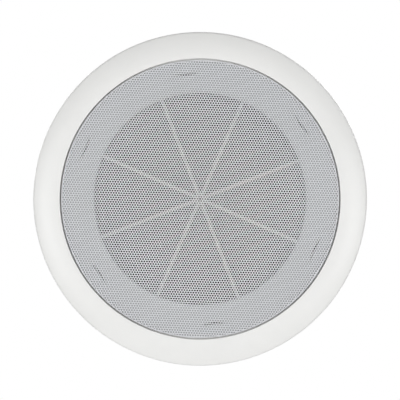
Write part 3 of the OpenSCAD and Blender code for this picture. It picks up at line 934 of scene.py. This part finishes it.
def solder_lump(name, middle, axis_u, axis_v, axis_w, seed):
    """A small pointed lump of solder, uneven all round. The axes are in metres."""
    rng = np.random.default_rng(seed)
    phase = rng.uniform(0, 2 * math.pi, 3)
    rings, sides = 9, 16
    points = []
    for i in range(rings + 1):
        t = math.pi * i / rings
        for k in range(sides):
            q = 2 * math.pi * k / sides
            r = math.sin(t) ** 0.8 * (1 + 0.08 * math.sin(2 * q + phase[0]) + 0.06 * math.sin(3 * q + phase[1]))
            h = math.cos(t) * (1 + 0.1 * math.sin(q + phase[2]))
            points.append(Vector(middle) + axis_u * (r * math.cos(q)) + axis_v * (r * math.sin(q)) + axis_w * h)
    faces = [
        (i * sides + k, (i + 1) * sides + k, (i + 1) * sides + (k + 1) % sides, i * sides + (k + 1) % sides)
        for i in range(rings) for k in range(sides)
    ]
    o = mesh_object(name, points, faces, solder_metal, 80.0)
    welded = bmesh.new()
    welded.from_mesh(o.data)
    bmesh.ops.remove_doubles(welded, verts=welded.verts, dist=1e-6)
    welded.to_mesh(o.data)
    welded.free()
    outward(o)
    return o


LUMP_AT, LUMP_LEVEL = -8.1, -1.75
LUMP_SIZE, LUMP_HEIGHT = 1.2, 1.3
for side, sign in SIDE_SIGNS:
    middle = at_terminal(leg_point(LUMP_AT, sign * TAG, LUMP_LEVEL))
    u = at_terminal(leg_point(LUMP_AT + LUMP_SIZE, sign * TAG, LUMP_LEVEL)) - middle
    v = at_terminal(leg_point(LUMP_AT, sign * TAG + LUMP_SIZE, LUMP_LEVEL)) - middle
    w = at_terminal(leg_point(LUMP_AT, sign * TAG, LUMP_LEVEL + LUMP_HEIGHT)) - middle
    lump = solder_lump(f"solder_{side}", middle, u, v, w, 11 + sign)
    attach(lump, "frame")

# ---------------------------------------------------------------- clamp springs

PIVOT = 91.5  # radius of the pins
DEPTH = 12.0  # how far the pins lie behind the seating plane
WIRE = 1.0
COIL = 2.5  # radius of the coil's middle line
TURNS = 4
LEG_STEPS = 7
COIL_STEPS = 28 * TURNS + 7
TURN_ANGLE = 2 * math.pi * TURNS + math.pi / 2
COIL_PITCH = WIRE + 0.05


def line(start, end):
    """Points from start to end, both included."""
    return [start + (end - start) * f for f in np.linspace(0, 1, LEG_STEPS + 1)]


# The wire's middle line, from the tip on the clamp arm, round the pin, to the tip on the bracket. Its points are
# measured from the middle of the pin: outward, along the pin and towards the listener.
coil_start = -COIL_PITCH * TURN_ANGLE / (4 * math.pi)
coil = []
for i in range(COIL_STEPS + 1):
    f = i / COIL_STEPS
    q = -math.pi / 2 - TURN_ANGLE * f
    v = coil_start + COIL_PITCH * TURN_ANGLE * f / (2 * math.pi)
    coil.append(np.array([COIL * math.cos(q), v, COIL * math.sin(q)]))
arm_tip = np.array([12.5, coil_start, -1 - WIRE / 2 - 0.03])
bracket_tip = np.array([-COIL, -coil_start, DEPTH - 1.5 - 0.6])
wire = line(arm_tip, np.array([0, coil_start, -COIL]))[:-1] + coil + line(coil[-1], bracket_tip)[1:]

for k in (1, 2, 3):
    a = math.radians(66 + 120 * (k - 1))
    path = [Vector(turned_to(a, PIVOT + p[0], p[1], -DEPTH + p[2])) for p in wire]
    spring, along = tube(f"clamp_spring_wire_{k}", path, WIRE / 2 * MM, spring_steel, sideways(a))
    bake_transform(spring)
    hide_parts(f"clamp_spring_{k}")

# ---------------------------------------------------------------- stage


WHITE_LIGHT = (1, 1, 1, 1)


def seen_directly(tree):
    """1 for rays from the camera and for those mirrored or passed on by gloss and glass."""
    rays = tree.nodes.new("ShaderNodeLightPath")
    either = math_node(tree, "MAXIMUM", rays.outputs["Is Camera Ray"], rays.outputs["Is Glossy Ray"])
    return math_node(tree, "MAXIMUM", either, rays.outputs["Is Transmission Ray"])


def make_floor(level, radius, colour):
    """A pale round floor that keeps the object's shadow and runs out into the white background."""
    m, t, s = new_material("floor_surface")
    p = place(t)
    c = mix(t, ramp(t, noise(t, p, 3.0, 3), 0, 1), rgb(colour, 0.99), rgb(colour, 1.0))
    finish_with(t, s, c, 0.9, [])
    fade = node(
        t, "ShaderNodeMapRange",
        {"Value": distance(t, 0, 1), "From Min": 0.25, "From Max": 1.0}, interpolation_type="SMOOTHSTEP",
    ).outputs["Result"]
    white = node(t, "ShaderNodeEmission", {"Color": WHITE_LIGHT, "Strength": 1.0})
    blend = t.nodes.new("ShaderNodeMixShader")
    t.links.new(math_node(t, "MULTIPLY", fade, seen_directly(t)), blend.inputs[0])
    t.links.new(s.outputs["BSDF"], blend.inputs[1])
    t.links.new(white.outputs["Emission"], blend.inputs[2])
    out = next(n for n in t.nodes if n.type == "OUTPUT_MATERIAL")
    t.links.new(blend.outputs[0], out.inputs["Surface"])
    count = 96
    rim = [
        (radius * math.cos(2 * math.pi * i / count), radius * math.sin(2 * math.pi * i / count), level)
        for i in range(count)
    ]
    me = bpy.data.meshes.new("floor")
    me.from_pydata(rim, [], [tuple(range(count))])
    me.materials.append(m)
    o = bpy.data.objects.new("floor", me)
    bpy.context.scene.collection.objects.link(o)


make_floor(-0.60, 1.5, (0.9, 0.9, 0.9))

world = bpy.data.worlds.new("studio")
bpy.context.scene.world = world
world.use_nodes = True
sky = world.node_tree
sky.nodes.clear()
# White where it is seen, and a weaker light on everything.
seen = node(sky, "ShaderNodeBackground", {"Color": WHITE_LIGHT, "Strength": 1.0})
light = node(sky, "ShaderNodeBackground", {"Color": WHITE_LIGHT, "Strength": 0.32})
choose = node(sky, "ShaderNodeMixShader", {0: seen_directly(sky), 1: light.outputs[0], 2: seen.outputs[0]})
node(sky, "ShaderNodeOutputWorld", {"Surface": choose.outputs[0]})


def softbox(name, place_at, size, power):
    """A soft rectangular light, turned to the middle of the frame."""
    data = bpy.data.lights.new(name, "AREA")
    data.shape = "RECTANGLE"
    data.size, data.size_y = size
    data.energy = power
    o = bpy.data.objects.new(name, data)
    bpy.context.scene.collection.objects.link(o)
    o.location = place_at
    o.rotation_euler = (-Vector(place_at)).to_track_quat("-Z", "Y").to_euler()
    o.visible_camera = False


softbox("left_softbox", (-0.85, -1.5, -0.12), (0.7, 0.5), 8.8)
softbox("right_softbox", (0.85, -1.5, -0.12), (0.7, 0.5), 8.5)
softbox("front_softbox", (0.0, -2.4, -0.1), (0.9, 0.5), 2.8)
softbox("back_left_softbox", (1.1, 1.7, 0.9), (1.2, 1.0), 13.0)
softbox("back_right_softbox", (-1.3, 1.5, 0.6), (1.2, 1.0), 13.0)

# ---------------------------------------------------------------- camera

# The bezel's rim is 166.83 pixels from the middle in a picture 400 pixels wide, and that middle lies a little off the
# picture's own, by SHIFT.
RIM_PIXELS = 166.83
RIM = 0.115
DISTANCE = 1.6
SENSOR = 36.0
PICTURE = 400
SHIFT = (-0.10, -1.13)
per_pixel = RIM / RIM_PIXELS
camera_data = bpy.data.cameras.new("camera")
camera_data.sensor_fit = "HORIZONTAL"
camera_data.sensor_width = SENSOR
camera_data.lens = RIM_PIXELS * (SENSOR / PICTURE) * (DISTANCE - 0.001) / RIM
camera_data.clip_end = 20
camera = bpy.data.objects.new("camera", camera_data)
bpy.context.scene.collection.objects.link(camera)
camera.location = (SHIFT[0] * per_pixel, -DISTANCE, SHIFT[1] * per_pixel)
camera.rotation_euler = (math.pi / 2, 0, 0)
bpy.context.scene.camera = camera
bpy.context.scene.view_settings.view_transform = "Standard"
